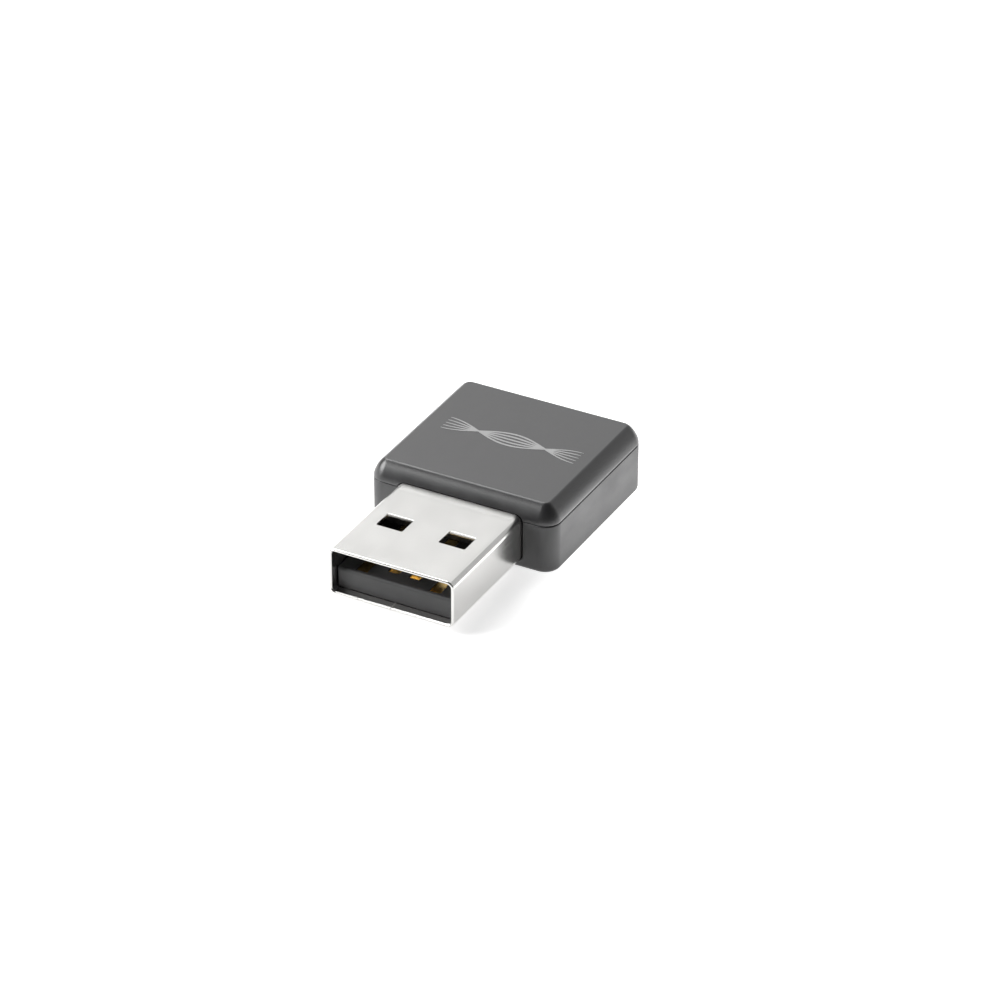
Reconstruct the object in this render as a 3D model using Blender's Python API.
"""Compact USB wifi adapter: a two-piece snap housing, a stamped USB-A plug and a small radio board.

Units are metres, +Z is up and the plug points along -Y. The origin is on the surface that the adapter
lies on, at the centre of its outline. Three empties carry the pieces:

- "housing", at the middle of the housing's underside
- "plug", on the plug's centre line, level with the housing's front face
- "board", on the board's upper face, also level with the housing's front face

So a y in the last two, called a depth here, is a distance back from the housing's front face.
"""

import math

import bmesh
import bpy

MM = 0.001

# ---------------------------------------------------------------- driving dimensions
BODY_WIDTH = 18.0 * MM
BODY_LENGTH = 17.2 * MM
BODY_HEIGHT = 6.5 * MM
CORNER_RADIUS = 1.5 * MM  # upright corners of the housing
LID_EDGE_INSET = 1.1 * MM
LID_EDGE_FLATNESS = 1.38  # 1 would make the lid's edge a quarter ellipse, and 2 a flat slope
BOTTOM_EDGE_RADIUS = 0.5 * MM
SEAM_BEVEL = 0.1 * MM
SEAM_HEIGHT = 4.7 * MM  # where the two covers meet
WALL = 1.0 * MM
FLOOR = 0.6 * MM
ROOF = 1.0 * MM

PLUG_WIDTH = 12.0 * MM  # USB type A
PLUG_HEIGHT = 4.5 * MM
PLUG_LENGTH = 12.0 * MM  # tip to the housing's front face
PLUG_BOTTOM = 0.7 * MM
PLUG_CORNER = 0.65 * MM
SHEET = 0.3 * MM  # the plug shell's metal
SHELL_DEPTH = 2.6 * MM  # the shell's length inside the housing

BOARD_THICKNESS = 0.8 * MM
BOARD_TOP = 2.72 * MM

FIT_GAP = 0.05 * MM  # clearance between neighbouring pieces
BOARD_GAP = 0.15 * MM  # clearance round the board
SEAT_GAP = 0.02 * MM  # clearance under a piece that rests on another

# The lip of the top cover, its hooks, and what the bottom cover holds the board with
LIP_THICKNESS = 0.45 * MM
LIP_DEPTH = 1.0 * MM
HOOK_LENGTH = 2.0 * MM
HOOK_REACH = 0.3 * MM
HOOK_BELOW_SEAM = 0.35 * MM
HOOK_DEPTHS = (5.0 * MM, 12.6 * MM)
REAR_HOOK_X = -3.0 * MM
RIB_DEPTHS = (8.0 * MM, 10.4 * MM)
RIB = (0.55 * MM, 0.8 * MM)
RAIL_WIDTH = 0.7 * MM
RAIL_SETBACK = 0.6 * MM
POST_RADIUS = 0.75 * MM
PIN_RADIUS = 0.4 * MM
PIN_RISE = 0.5 * MM
PINS = ((-6.5 * MM, 4.4 * MM), (6.5 * MM, 4.4 * MM), (6.5 * MM, 15.0 * MM))

LIGHT_PIPE_X = 4.0 * MM
LIGHT_PIPE_RISE = 0.45 * MM  # above the board
LIGHT_PIPE = (1.8 * MM, 0.8 * MM)
LIGHT_PIPE_FLANGE = (2.4 * MM, 0.8 * MM)

LABEL = (12.0 * MM, 9.0 * MM)
LABEL_CORNER = 0.6 * MM
LABEL_THICKNESS = 0.1 * MM

# Contacts, left to right: name, offset from the plug's centre line, start of the strip behind the tip
CONTACTS = (
    ("contact_ground", -3.5 * MM, 1.3 * MM),
    ("contact_data_plus", -1.0 * MM, 2.3 * MM),
    ("contact_data_minus", 1.0 * MM, 2.3 * MM),
    ("contact_power", 3.5 * MM, 1.3 * MM),
)
TONGUE_RECESS = 0.9 * MM  # from the tip of the shell to the front of the tongue
CONTACT_WIDTH = 1.0 * MM
CONTACT_THICKNESS = 0.2 * MM
CONTACT_TAIL = 4.4 * MM  # the soldered tails end this far behind the housing's front

WINDOW = (2.5 * MM, 2.0 * MM)  # the plug's latch windows, across and along
WINDOW_OFFSET = 3.0 * MM
WINDOW_FROM_TIP = 6.16 * MM
SEAM_SLIT = 0.06 * MM  # between the folded sheet's edges
DOVETAILS = ((3.0 * MM, 1), (9.2 * MM, -1))  # distance behind the tip, side that they point to

LEG_REACH = 1.05 * MM  # solder legs stand out this far from the shell's sides
LEG_DEPTH = 1.9 * MM
LEG_WIDTH = 1.0 * MM
PRONG_WIDTH = 0.6 * MM
PRONG_BELOW_BOARD = 0.4 * MM

SHIELD = (8.2 * MM, 6.8 * MM)  # the metal box over the radio
SHIELD_PLACE = (-2.6 * MM, 9.2 * MM)
SHIELD_HEIGHT = 1.3 * MM
SHIELD_RIM = 0.8 * MM
FOIL = 0.15 * MM

COPPER = 0.05 * MM
ANTENNA_START = 2.2 * MM
ANTENNA_PITCH = 1.0 * MM
ANTENNA_RUNS = 10
ANTENNA_WIDTH = 0.4 * MM

# ---------------------------------------------------------------- derived places
HALF_WIDTH = BODY_WIDTH / 2
HALF_LENGTH = BODY_LENGTH / 2
FRONT = (PLUG_LENGTH - BODY_LENGTH) / 2  # the housing's front face
PLUG_MIDDLE = PLUG_BOTTOM + PLUG_HEIGHT / 2
PLUG_TOP = PLUG_BOTTOM + PLUG_HEIGHT
CEILING = BODY_HEIGHT - ROOF
BOARD_BOTTOM = BOARD_TOP - BOARD_THICKNESS
BOARD_END = BODY_LENGTH - WALL - BOARD_GAP
LIP_BOTTOM = SEAM_HEIGHT - LIP_DEPTH
LIP_INSET = WALL + FIT_GAP
HOOK_TOP = SEAM_HEIGHT - HOOK_BELOW_SEAM
CONTACT_BOTTOM = BOARD_TOP + SEAT_GAP - PLUG_MIDDLE  # in the plug's frame
TONGUE_TOP = CONTACT_BOTTOM + CONTACT_THICKNESS - SEAT_GAP

OVERLAP = 0.1 * MM  # how far joined shapes run into each other
BEYOND = 1.0 * MM  # how far a cutter runs past a wall
QUARTER = math.radians(90)
SHARP_ANGLE = math.radians(35)

COLOURS = {  # colour, roughness, metallic
    "cover_black": ((0.030, 0.030, 0.032), 0.35, 0.0),
    "plated_steel": ((0.80, 0.80, 0.79), 0.22, 1.0),
    "insulator_black": ((0.015, 0.015, 0.015), 0.55, 0.0),
    "contact_gold": ((0.83, 0.60, 0.25), 0.25, 1.0),
    "board_green": ((0.02, 0.16, 0.07), 0.45, 0.0),
    "trace_copper": ((0.72, 0.42, 0.22), 0.35, 1.0),
    "shield_tin": ((0.66, 0.66, 0.64), 0.35, 1.0),
    "chip_epoxy": ((0.02, 0.02, 0.022), 0.6, 0.0),
    "capacitor_tan": ((0.42, 0.29, 0.16), 0.5, 0.0),
    "ceramic_white": ((0.75, 0.74, 0.70), 0.5, 0.0),
    "light_pipe_clear": ((0.80, 0.84, 0.86), 0.15, 0.0),
    "label_silver": ((0.62, 0.62, 0.61), 0.4, 0.0),
}


# ---------------------------------------------------------------- objects and materials
def clear_scene():
    for thing in list(bpy.data.objects):
        bpy.data.objects.remove(thing)


def material(name):
    """The named material, made the first time it is asked for."""
    if name in bpy.data.materials:
        return bpy.data.materials[name]
    colour, roughness, metallic = COLOURS[name]
    made = bpy.data.materials.new(name)
    made.use_nodes = True
    shader = made.node_tree.nodes["Principled BSDF"]
    shader.inputs["Base Color"].default_value = (*colour, 1.0)
    shader.inputs["Roughness"].default_value = roughness
    shader.inputs["Metallic"].default_value = metallic
    return made


def add_empty(name, location=(0, 0, 0), parent=None):
    empty = bpy.data.objects.new(name, None)
    empty.location = location
    empty.parent = parent
    bpy.context.scene.collection.objects.link(empty)
    return empty


def add_object(name, shape, material_name, parent, location=(0, 0, 0)):
    """Makes an object from a bmesh, which it frees."""
    mesh = bpy.data.meshes.new(name)
    bmesh.ops.recalc_face_normals(shape, faces=shape.faces)
    shape.to_mesh(mesh)
    shape.free()
    mesh.materials.append(material(material_name))
    thing = bpy.data.objects.new(name, mesh)
    thing.location = location
    thing.parent = parent
    bpy.context.scene.collection.objects.link(thing)
    return thing


def combine(target, name, shape, operation):
    """Adds a Boolean with a hidden helper shape, given in the target's frame."""
    helper = add_object(name, shape, "cover_black", target.parent, target.location)
    helper.hide_render = True
    helper.display_type = "WIRE"
    modifier = target.modifiers.new(name, "BOOLEAN")
    modifier.operation = operation
    modifier.solver = "EXACT"
    modifier.object = helper


def cut(target, name, shape):
    combine(target, name, shape, "DIFFERENCE")


def join(target, name, shape):
    combine(target, name, shape, "UNION")


def finish_meshes():
    """Makes every modifier permanent, removes the helpers and shades all but the sharp edges smooth."""
    graph = bpy.context.evaluated_depsgraph_get()
    meshes = [thing for thing in bpy.data.objects if thing.type == "MESH"]
    helpers = [thing for thing in meshes if thing.hide_render]
    pieces = [thing for thing in meshes if not thing.hide_render]
    finished = [bpy.data.meshes.new_from_object(piece.evaluated_get(graph)) for piece in pieces]
    for piece, mesh in zip(pieces, finished):
        piece.modifiers.clear()
        piece.data = mesh
        mesh.name = piece.name
        mesh.shade_smooth()
        mesh.set_sharp_from_angle(angle=SHARP_ANGLE)
    for helper in helpers:
        bpy.data.objects.remove(helper)


# ---------------------------------------------------------------- outlines and solids
def rounded_rectangle(width, length, radius, steps=5, centre=(0, 0)):
    """Points round a rectangle with arc corners, anticlockwise."""
    points = []
    corners = ((1, 1), (-1, 1), (-1, -1), (1, -1))
    for turn, (side_x, side_y) in enumerate(corners):
        middle_x = centre[0] + side_x * (width / 2 - radius)
        middle_y = centre[1] + side_y * (length / 2 - radius)
        for step in range(steps + 1):
            angle = QUARTER * (turn + step / steps)
            points.append((middle_x + radius * math.cos(angle), middle_y + radius * math.sin(angle)))
    return points


def circle(radius, centre=(0, 0), steps=16):
    turns = [math.tau * step / steps for step in range(steps)]
    return [(centre[0] + radius * math.cos(a), centre[1] + radius * math.sin(a)) for a in turns]


def ribbon(path, width):
    """The outline of a strip of constant width along a path, with mitred corners."""
    left, right = [], []
    for i, (x, y) in enumerate(path):
        normals = []
        for j in (i - 1, i):
            if 0 <= j < len(path) - 1:
                run_x, run_y = path[j + 1][0] - path[j][0], path[j + 1][1] - path[j][1]
                run = math.hypot(run_x, run_y)
                normals.append((-run_y / run, run_x / run))
        normal_x = sum(normal[0] for normal in normals) / len(normals)
        normal_y = sum(normal[1] for normal in normals) / len(normals)
        stretch = width / 2 / (normal_x**2 + normal_y**2)
        left.append((x + normal_x * stretch, y + normal_y * stretch))
        right.append((x - normal_x * stretch, y - normal_y * stretch))
    return left[::-1] + right


def loft(rings):
    """A closed solid skinned over rings that have the same number of points."""
    shape = bmesh.new()
    rows = [[shape.verts.new(point) for point in ring] for ring in rings]
    for lower, upper in zip(rows, rows[1:]):
        for i in range(len(lower)):
            after = (i + 1) % len(lower)
            shape.faces.new((lower[i], lower[after], upper[after], upper[i]))
    shape.faces.new(rows[0][::-1])
    shape.faces.new(rows[-1])
    return shape


def at_height(outline, z):
    return [(x, y, z) for x, y in outline]


def prism_z(outline, low, high):
    """An XY outline extruded upwards."""
    return loft([at_height(outline, z) for z in (low, high)])


def prism_y(outline, near, far):
    """An XZ outline extruded along the adapter's length."""
    return loft([[(x, y, z) for x, z in outline] for y in (near, far)])


def prism_x(outline, left, right):
    """A YZ outline extruded across the adapter."""
    return loft([[(x, y, z) for y, z in outline] for x in (left, right)])


def block(across, along, up):
    """A box between the two ends of each range, given in either order."""
    (x0, x1), (y0, y1) = sorted(across), sorted(along)
    return prism_z(((x0, y0), (x1, y0), (x1, y1), (x0, y1)), min(up), max(up))


def around(middle, length):
    """The range of this length about its middle."""
    return (middle - length / 2, middle + length / 2)


def eased_block(width, length, height, edge=0.06 * MM):
    """A small block with its upper, lower and upright edges eased."""
    rings = []
    for inset, z in ((edge, 0), (0, edge), (0, height - edge), (edge, height)):
        outline = rounded_rectangle(width - 2 * inset, length - 2 * inset, 2 * edge, 2)
        rings.append(at_height(outline, z))
    return loft(rings)


# ---------------------------------------------------------------- housing
def housing_outline(inset):
    """The housing's outline, pulled in by an inset."""
    width, length = BODY_WIDTH - 2 * inset, BODY_LENGTH - 2 * inset
    return rounded_rectangle(width, length, max(CORNER_RADIUS - inset, 0.3 * MM), 8)


def hook_places():
    """(name, centre on the lip's outer face, outward direction) of each snap hook."""
    for depth in HOOK_DEPTHS:
        for side, word in ((-1, "left"), (1, "right")):
            centre = (side * (HALF_WIDTH - LIP_INSET), depth - HALF_LENGTH)
            yield f"{word}_{round(depth / MM)}", centre, (side, 0)
    yield "rear", (REAR_HOOK_X, HALF_LENGTH - LIP_INSET), (0, 1)


def hook_shape(centre, outward, profile, length):
    """A profile of (outward, height) points swept along the lip."""
    rings = []
    for along in (-length / 2, length / 2):
        x, y = centre[0] - outward[1] * along, centre[1] + outward[0] * along
        rings.append([(x + outward[0] * out, y + outward[1] * out, z) for out, z in profile])
    return loft(rings)


def plug_opening(low, high):
    """The passage for the plug's shell through the housing's front wall."""
    width = PLUG_WIDTH + 2 * FIT_GAP
    return block(around(0, width), (-HALF_LENGTH - BEYOND, SHELL_DEPTH - HALF_LENGTH), (low, high))


def make_top_cover(housing):
    """The lid: a roof with sloping edges, whose lip drops inside the lower cover and snaps into its walls."""
    bottom = SEAM_HEIGHT + SEAT_GAP
    edge_start = bottom + SEAM_BEVEL
    rings = [at_height(housing_outline(SEAM_BEVEL), bottom)]
    steps = 9
    for step in range(steps + 1):
        angle = QUARTER * step / steps
        inset = LID_EDGE_INSET * (1 - math.cos(angle) ** LID_EDGE_FLATNESS)
        rise = (BODY_HEIGHT - edge_start) * math.sin(angle) ** LID_EDGE_FLATNESS
        rings.append(at_height(housing_outline(inset), edge_start + rise))
    cover = add_object("top_cover", loft(rings), "cover_black", housing)

    join(cover, "lip", prism_z(housing_outline(LIP_INSET), LIP_BOTTOM, bottom + 2 * OVERLAP))
    hollow = housing_outline(LIP_INSET + LIP_THICKNESS)
    cut(cover, "top_hollow", prism_z(hollow, LIP_BOTTOM - BEYOND, CEILING))
    cut(cover, "top_plug_opening", plug_opening(LIP_BOTTOM - BEYOND, PLUG_TOP + FIT_GAP))

    low = LIP_BOTTOM + OVERLAP
    profile = (
        (-OVERLAP, low),
        (0, low),
        (HOOK_REACH, HOOK_TOP - OVERLAP),
        (HOOK_REACH, HOOK_TOP),
        (-OVERLAP, HOOK_TOP),
    )
    for name, centre, outward in hook_places():
        join(cover, f"hook_{name}", hook_shape(centre, outward, profile, HOOK_LENGTH))

    # Ribs on the lip hold the board down on the lower cover's rails
    lip_inside = HALF_WIDTH - LIP_INSET - LIP_THICKNESS
    for depth in RIB_DEPTHS:
        for side in (-1, 1):
            across = (side * (lip_inside - RIB[0]), side * (lip_inside + OVERLAP))
            along = around(depth - HALF_LENGTH, RIB[1])
            rib = block(across, along, (BOARD_TOP + SEAT_GAP, CEILING + OVERLAP))
            join(cover, f"rib_{side}_{round(depth / MM)}", rib)


def make_bottom_cover(housing):
    """The tub: rails and pins that carry the board, pockets for the hooks and a label recess."""
    rings = []
    steps = 5
    for step in range(steps + 1):
        angle = QUARTER * step / steps
        inset = BOTTOM_EDGE_RADIUS * (1 - math.sin(angle))
        rings.append(at_height(housing_outline(inset), BOTTOM_EDGE_RADIUS * (1 - math.cos(angle))))
    rings.append(at_height(housing_outline(0), SEAM_HEIGHT - SEAM_BEVEL))
    rings.append(at_height(housing_outline(SEAM_BEVEL), SEAM_HEIGHT))
    cover = add_object("bottom_cover", loft(rings), "cover_black", housing)

    cut(cover, "bottom_hollow", prism_z(housing_outline(WALL), FLOOR, SEAM_HEIGHT + BEYOND))
    cut(cover, "bottom_plug_opening", plug_opening(PLUG_BOTTOM - FIT_GAP, SEAM_HEIGHT + BEYOND))
    slack = 2 * FIT_GAP
    recess = rounded_rectangle(LABEL[0] + 2 * slack, LABEL[1] + 2 * slack, LABEL_CORNER + slack, 3)
    cut(cover, "label_recess", prism_z(recess, -BEYOND, LABEL_THICKNESS + FIT_GAP))

    reach, top = HOOK_REACH + slack, HOOK_TOP + FIT_GAP
    profile = ((-OVERLAP, LIP_BOTTOM), (reach, LIP_BOTTOM), (reach, top), (-OVERLAP, top))
    for name, centre, outward in hook_places():
        cut(cover, f"pocket_{name}", hook_shape(centre, outward, profile, HOOK_LENGTH + 2 * slack))

    rail_top = BOARD_BOTTOM - SEAT_GAP
    inner_wall = HALF_WIDTH - WALL
    rail_end = HALF_LENGTH - WALL - RAIL_SETBACK
    for side in (-1, 1):
        across = (side * (inner_wall - RAIL_WIDTH), side * (inner_wall + OVERLAP))
        rail = block(across, (-rail_end, rail_end), (FLOOR - OVERLAP, rail_top))
        join(cover, f"rail_{side}", rail)
    for number, (x, depth) in enumerate(PINS):
        centre = (x, depth - HALF_LENGTH)
        join(cover, f"post_{number}", prism_z(circle(POST_RADIUS, centre), FLOOR - OVERLAP, rail_top))
        pin = prism_z(circle(PIN_RADIUS, centre), rail_top - OVERLAP, BOARD_TOP + PIN_RISE)
        join(cover, f"pin_{number}", pin)

    across = around(LIGHT_PIPE_X, LIGHT_PIPE[0] + 2 * FIT_GAP)
    up = around(BOARD_TOP + LIGHT_PIPE_RISE, LIGHT_PIPE[1] + 2 * FIT_GAP)
    hole = block(across, (HALF_LENGTH - WALL - BEYOND, HALF_LENGTH + BEYOND), up)
    cut(cover, "light_pipe_hole", hole)


def make_rating_label(housing):
    """A blank self-adhesive label in the recess under the lower cover."""
    outline = rounded_rectangle(*LABEL, LABEL_CORNER, 3)
    sheet = prism_z(outline, 0, LABEL_THICKNESS)
    add_object("rating_label", sheet, "label_silver", housing, (0, 0, SEAT_GAP))


def make_light_pipe(housing):
    """A clear plug through the rear wall that carries the lamp's light; its flange stops it inside."""
    flange_thickness = 0.25 * MM
    flange_face = -WALL - FIT_GAP
    rings = []
    for (width, height), y in (
        (LIGHT_PIPE_FLANGE, flange_face - flange_thickness),
        (LIGHT_PIPE_FLANGE, flange_face),
        (LIGHT_PIPE, flange_face),
        (LIGHT_PIPE, -FIT_GAP),
    ):
        outline = rounded_rectangle(width, height, 0.2 * MM, 3)
        rings.append([(x, y, z) for x, z in outline])
    place = (LIGHT_PIPE_X, HALF_LENGTH, BOARD_TOP + LIGHT_PIPE_RISE)
    add_object("light_pipe", loft(rings), "light_pipe_clear", housing, place)


# ---------------------------------------------------------------- plug
def shell_seam_path():
    """The underside seam, with dovetails where the sheet's edges lock together."""
    neck, head, reach = 0.45 * MM, 0.75 * MM, 0.9 * MM
    path = [(0, -PLUG_LENGTH - BEYOND)]
    for from_tip, side in DOVETAILS:
        middle = from_tip - PLUG_LENGTH
        path.append((0, middle - neck))
        path.append((side * reach, middle - head))
        path.append((side * reach, middle + head))
        path.append((0, middle + neck))
    path.append((0, SHELL_DEPTH + BEYOND))
    return path


def make_usb_shell(plug):
    """One sheet folded to a box, with latch windows, a locked seam and solder legs."""
    lead_in = 0.08 * MM
    rings = []
    for inset, y in ((lead_in, -PLUG_LENGTH), (0, lead_in - PLUG_LENGTH), (0, SHELL_DEPTH)):
        outline = rounded_rectangle(PLUG_WIDTH - 2 * inset, PLUG_HEIGHT - 2 * inset, PLUG_CORNER - inset, 6)
        rings.append([(x, y, z) for x, z in outline])
    shell = add_object("usb_shell", loft(rings), "plated_steel", plug)
    bore = rounded_rectangle(PLUG_WIDTH - 2 * SHEET, PLUG_HEIGHT - 2 * SHEET, PLUG_CORNER - SHEET, 6)
    cut(shell, "shell_bore", prism_y(bore, -PLUG_LENGTH - BEYOND, SHELL_DEPTH + BEYOND))
    floor = -PLUG_HEIGHT / 2
    cut(shell, "shell_seam", prism_z(ribbon(shell_seam_path(), SEAM_SLIT), floor - BEYOND, floor + 2 * SHEET))

    leg_bottom = CONTACT_BOTTOM
    foot = PLUG_WIDTH / 2 + LEG_REACH
    for side, word in ((-1, "left"), (1, "right")):
        across = around(side * WINDOW_OFFSET, WINDOW[0])
        along = around(WINDOW_FROM_TIP - PLUG_LENGTH, WINDOW[1])
        cut(shell, f"window_top_{word}", block(across, along, around(PLUG_HEIGHT / 2, 4 * SHEET)))
        cut(shell, f"window_under_{word}", block(across, along, around(floor, 4 * SHEET)))

        across = (side * (PLUG_WIDTH / 2 - OVERLAP), side * foot)
        leg = block(across, around(LEG_DEPTH, LEG_WIDTH), (leg_bottom, leg_bottom + SHEET))
        join(shell, f"leg_{word}", leg)
        across = (side * (foot - SHEET), side * foot)
        prong_end = BOARD_BOTTOM - PRONG_BELOW_BOARD - PLUG_MIDDLE
        prong = block(across, around(LEG_DEPTH, PRONG_WIDTH), (prong_end, leg_bottom + SHEET / 2))
        join(shell, f"prong_{word}", prong)


def make_usb_insulator(plug):
    """The moulding in the shell: a tongue for the contacts and a block that closes the back."""
    bottom = SHEET + FIT_GAP - PLUG_HEIGHT / 2
    half = PLUG_WIDTH / 2 - SHEET - 2 * FIT_GAP
    front, end = TONGUE_RECESS - PLUG_LENGTH, SHELL_DEPTH - OVERLAP
    block_start, block_top = -2.8 * MM, PLUG_HEIGHT / 2 - SHEET - FIT_GAP
    nose = 0.3 * MM
    side_view = (
        (front, bottom),
        (end, bottom),
        (end, block_top),
        (block_start, block_top),
        (block_start, TONGUE_TOP),
        (front + nose, TONGUE_TOP),
        (front, TONGUE_TOP - nose),
    )
    moulding = add_object("usb_insulator", prism_x(side_view, -half, half), "insulator_black", plug)
    soft_edges = moulding.modifiers.new("soft_edges", "BEVEL")
    soft_edges.width = 0.12 * MM
    soft_edges.segments = 1
    for name, x, start in CONTACTS:
        along = (start - PLUG_LENGTH - FIT_GAP, end + BEYOND)
        up = (CONTACT_BOTTOM - FIT_GAP, CONTACT_BOTTOM + CONTACT_THICKNESS + FIT_GAP)
        cut(moulding, f"channel_{name}", block(around(x, CONTACT_WIDTH + 2 * FIT_GAP), along, up))


def make_usb_contacts(plug):
    """Four gold-plated strips, from the tongue through the block to the board's pads."""
    tip_drop, tip_run = 0.1 * MM, 0.3 * MM
    for name, x, start in CONTACTS:
        front = start - PLUG_LENGTH
        side_view = (
            (front, 0),
            (CONTACT_TAIL, 0),
            (CONTACT_TAIL, CONTACT_THICKNESS),
            (front + tip_run, CONTACT_THICKNESS),
            (front, CONTACT_THICKNESS - tip_drop),
        )
        strip = prism_x(side_view, -CONTACT_WIDTH / 2, CONTACT_WIDTH / 2)
        add_object(name, strip, "contact_gold", plug, (x, 0, CONTACT_BOTTOM))


# ---------------------------------------------------------------- board
def make_circuit_board(board):
    """The fibreglass board, notched round the shell, with holes for the pins and prongs."""
    half, front = HALF_WIDTH - WALL - BOARD_GAP, WALL + BOARD_GAP
    notch, notch_end = PLUG_WIDTH / 2 + BOARD_GAP, SHELL_DEPTH + 0.2 * MM
    clip = 0.6 * MM
    outline = (
        (-half + clip, front),
        (-notch, front),
        (-notch, notch_end),
        (notch, notch_end),
        (notch, front),
        (half - clip, front),
        (half, front + clip),
        (half, BOARD_END - clip),
        (half - clip, BOARD_END),
        (-half + clip, BOARD_END),
        (-half, BOARD_END - clip),
        (-half, front + clip),
    )
    plate = add_object("circuit_board", prism_z(outline, -BOARD_THICKNESS, 0), "board_green", board)
    low, high = -BOARD_THICKNESS - BEYOND, BEYOND
    for number, place in enumerate(PINS):
        cut(plate, f"pin_hole_{number}", prism_z(circle(PIN_RADIUS + FIT_GAP, place), low, high))
    for side, word in ((-1, "left"), (1, "right")):
        centre = (side * (PLUG_WIDTH / 2 + LEG_REACH - SHEET / 2), LEG_DEPTH)
        slot = rounded_rectangle(SHEET + 4 * FIT_GAP, PRONG_WIDTH + 4 * FIT_GAP, 0.12 * MM, 2, centre)
        cut(plate, f"prong_slot_{word}", prism_z(slot, low, high))


def make_printed_antenna(board):
    """A meandered copper trace along the board's rear edge, fed from the radio's filter."""
    near, far = BODY_LENGTH - 3.4 * MM, BODY_LENGTH - 1.7 * MM
    path = [(ANTENNA_START, near - 0.6 * MM), (ANTENNA_START, far)]
    for run in range(1, ANTENNA_RUNS):
        x = ANTENNA_START - run * ANTENNA_PITCH
        path += [(x, near), (x, far)] if run % 2 == 0 else [(x, far), (x, near)]
    trace = prism_z(ribbon(path, ANTENNA_WIDTH), 0, COPPER)
    add_object("printed_antenna", trace, "trace_copper", board, (0, 0, SEAT_GAP))


def make_radio_chip(board):
    size, height = 5.0 * MM, 0.85 * MM
    body = eased_block(size, size, height)
    chip = add_object("radio_chip", body, "chip_epoxy", board, (*SHIELD_PLACE, SEAT_GAP))
    mark = circle(0.3 * MM, (0.7 * MM - size / 2, size / 2 - 0.7 * MM), 12)
    cut(chip, "pin_one_mark", prism_z(mark, height - 0.05 * MM, height + BEYOND))


def make_shield(board):
    """The soldered fence round the radio and the vented can that snaps over it."""
    place = (*SHIELD_PLACE, SEAT_GAP)
    width, length = SHIELD
    wall = prism_z(rounded_rectangle(width, length, 0.4 * MM, 3), 0, SHIELD_HEIGHT)
    fence = add_object("shield_fence", wall, "shield_tin", board, place)
    hollow = rounded_rectangle(width - 2 * FOIL, length - 2 * FOIL, 0.4 * MM - FOIL, 3)
    cut(fence, "fence_hollow", prism_z(hollow, -BEYOND, SHIELD_HEIGHT - FOIL))
    mouth = rounded_rectangle(width - 2 * SHIELD_RIM, length - 2 * SHIELD_RIM, 0.4 * MM, 3)
    cut(fence, "fence_mouth", prism_z(mouth, -BEYOND, SHIELD_HEIGHT + BEYOND))

    lid_bottom, lid_top = 0.35 * MM, SHIELD_HEIGHT + SEAT_GAP + FOIL
    width, length = width + 2 * FIT_GAP, length + 2 * FIT_GAP
    outside = rounded_rectangle(width + 2 * FOIL, length + 2 * FOIL, 0.4 * MM + FOIL, 3)
    lid = add_object("shield_lid", prism_z(outside, lid_bottom, lid_top), "shield_tin", board, place)
    hollow = rounded_rectangle(width, length, 0.4 * MM, 3)
    cut(lid, "lid_hollow", prism_z(hollow, lid_bottom - BEYOND, lid_top - FOIL))
    pitch = 2.2 * MM
    for column in (-1, 0, 1):
        for row in (-0.5, 0.5):
            vent = circle(0.4 * MM, (column * pitch, row * pitch), 10)
            cut(lid, f"vent_{column}_{row}", prism_z(vent, lid_top - 2 * FOIL, lid_top + BEYOND))


def make_crystal(board):
    """The radio's reference crystal: a ceramic tray closed by a metal lid."""
    place, tray_height = (3.6 * MM, 7.0 * MM), 0.5 * MM
    tray = eased_block(3.2 * MM, 2.5 * MM, tray_height)
    add_object("crystal_tray", tray, "ceramic_white", board, (*place, SEAT_GAP))
    lid = eased_block(2.9 * MM, 2.2 * MM, 0.2 * MM)
    add_object("crystal_lid", lid, "shield_tin", board, (*place, tray_height + 2 * SEAT_GAP))


def make_voltage_regulator(board):
    """A five-legged regulator; its gull-wing legs are joined to the body."""
    lift = 0.1 * MM
    body = eased_block(1.6 * MM, 2.9 * MM, 1.0 * MM)
    place = (5.1 * MM, 10.2 * MM, SEAT_GAP + lift)
    chip = add_object("voltage_regulator", body, "chip_epoxy", board, place)
    pitch, half_leg, thickness = 0.95 * MM, 0.2 * MM, 0.15 * MM
    root, bend, toe, shoulder = 0.7 * MM, 1.0 * MM, 1.45 * MM, 0.3 * MM
    profile = (
        (root, shoulder + thickness),
        (bend + thickness, shoulder + thickness),
        (bend + thickness, thickness - lift),
        (toe, thickness - lift),
        (toe, -lift),
        (bend, -lift),
        (bend, shoulder),
        (root, shoulder),
    )
    for side, columns in ((-1, (-1, 0, 1)), (1, (-1, 1))):
        outline = [(side * across, up) for across, up in profile]
        for column in columns:
            middle = column * pitch
            leg = prism_y(outline, middle - half_leg, middle + half_leg)
            join(chip, f"regulator_leg_{side}_{column}", leg)


def make_power_inductor(board):
    """A drum core: two flanges with the winding's waist between them."""
    width, length, height, flange, waist = 2.5 * MM, 2.0 * MM, 1.2 * MM, 0.3 * MM, 0.72
    rings = []
    for share, z in (
        (1, 0),
        (1, flange),
        (waist, flange),
        (waist, height - flange),
        (1, height - flange),
        (1, height),
    ):
        outline = rounded_rectangle(width * share, length * share, 0.4 * MM * share, 4)
        rings.append(at_height(outline, z))
    place = (5.2 * MM, 12.95 * MM, SEAT_GAP)
    add_object("power_inductor", loft(rings), "chip_epoxy", board, place)


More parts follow.
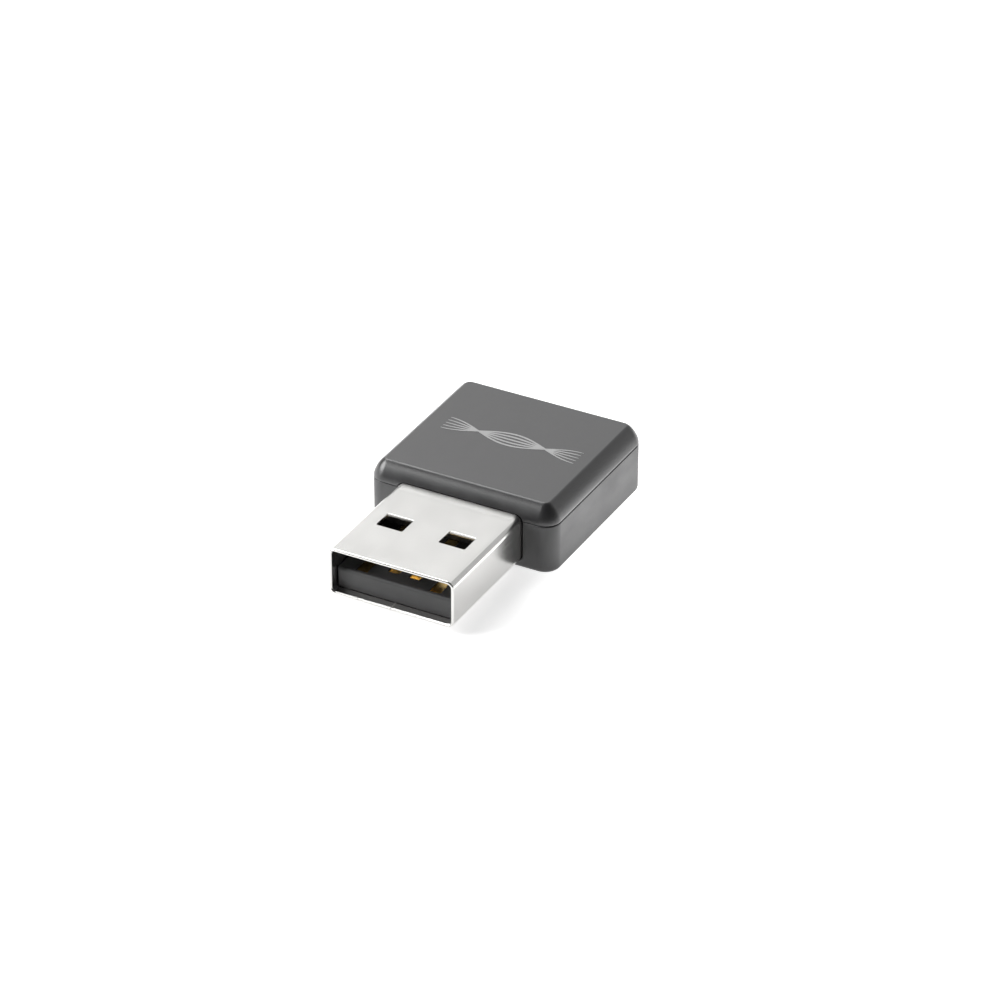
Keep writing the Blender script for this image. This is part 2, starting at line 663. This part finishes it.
def make_status_lamp(board):
    """A side-facing lamp at the board's rear edge, behind the light pipe."""
    width, length, height = 1.6 * MM, 0.7 * MM, 0.8 * MM
    depth = BOARD_END - 1.0 * MM
    lamp = eased_block(width, length, height)
    add_object("status_lamp", lamp, "ceramic_white", board, (LIGHT_PIPE_X, depth, SEAT_GAP))
    lens = prism_y(rounded_rectangle(1.2 * MM, 0.5 * MM, 0.12 * MM, 2), 0, 0.25 * MM)
    lens_place = (LIGHT_PIPE_X, depth + length / 2 + SEAT_GAP, SEAT_GAP + height / 2)
    add_object("status_lamp_lens", lens, "light_pipe_clear", board, lens_place)


def make_radio_filter(board):
    """The ceramic filter between the radio and the antenna."""
    brick = eased_block(0.8 * MM, 0.9 * MM, 0.6 * MM)
    add_object("radio_filter", brick, "ceramic_white", board, (2.35 * MM, 9.5 * MM, SEAT_GAP))


SMALL = (1.0 * MM, 0.5 * MM, 0.5 * MM)
MEDIUM = (1.6 * MM, 0.8 * MM, 0.7 * MM)
LARGE = (2.0 * MM, 1.25 * MM, 1.1 * MM)
CHIP_PARTS = (  # name, x and depth in mm, size, material
    ("decoupling_capacitor_1", -6.0, 7.2, SMALL, "capacitor_tan"),
    ("decoupling_capacitor_2", -6.0, 9.2, SMALL, "capacitor_tan"),
    ("decoupling_capacitor_3", -6.0, 11.2, SMALL, "capacitor_tan"),
    ("decoupling_capacitor_4", 0.7, 7.2, SMALL, "capacitor_tan"),
    ("decoupling_capacitor_5", 0.7, 9.2, SMALL, "capacitor_tan"),
    ("reference_resistor", 0.7, 11.2, SMALL, "chip_epoxy"),
    ("crystal_capacitor_1", 5.8, 6.2, SMALL, "capacitor_tan"),
    ("crystal_capacitor_2", 5.8, 7.7, SMALL, "capacitor_tan"),
    ("bulk_capacitor", 5.2, 4.2, LARGE, "capacitor_tan"),
    ("input_ferrite", 2.25, 4.1, MEDIUM, "chip_epoxy"),
    ("lamp_resistor", 5.5, 14.9, SMALL, "chip_epoxy"),
    ("matching_capacitor", 2.35, 10.8, SMALL, "capacitor_tan"),
    ("matching_inductor", 2.35, 12.1, SMALL, "ceramic_white"),
)


def chip_part_shape(length, width, height):
    """A two-terminal part along X: its metal end caps stand slightly proud of its middle."""
    cap, proud = length * 0.22, 0.02 * MM
    rings = []
    for x, grow in (
        (-length / 2, proud),
        (cap - length / 2, proud),
        (cap - length / 2, 0),
        (length / 2 - cap, 0),
        (length / 2 - cap, proud),
        (length / 2, proud),
    ):
        side, low, high = width / 2 + grow, proud - grow, proud + height + grow
        rings.append([(x, side, low), (x, side, high), (x, -side, high), (x, -side, low)])
    return loft(rings)


def make_chip_parts(board):
    for name, x, depth, size, material_name in CHIP_PARTS:
        place = (x * MM, depth * MM, SEAT_GAP)
        part = add_object(name, chip_part_shape(*size), material_name, board, place)
        part.rotation_euler.z = QUARTER


# ---------------------------------------------------------------- assembly
def build():
    clear_scene()
    adapter = add_empty("wifi_adapter")
    housing = add_empty("housing", (0, FRONT + HALF_LENGTH, 0), adapter)
    plug = add_empty("plug", (0, FRONT, PLUG_MIDDLE), adapter)
    board = add_empty("board", (0, FRONT, BOARD_TOP), adapter)

    make_top_cover(housing)
    make_bottom_cover(housing)
    make_rating_label(housing)
    make_light_pipe(housing)

    make_usb_shell(plug)
    make_usb_insulator(plug)
    make_usb_contacts(plug)

    make_circuit_board(board)
    make_printed_antenna(board)
    make_radio_chip(board)
    make_shield(board)
    make_crystal(board)
    make_voltage_regulator(board)
    make_power_inductor(board)
    make_status_lamp(board)
    make_radio_filter(board)
    make_chip_parts(board)
    finish_meshes()


build()
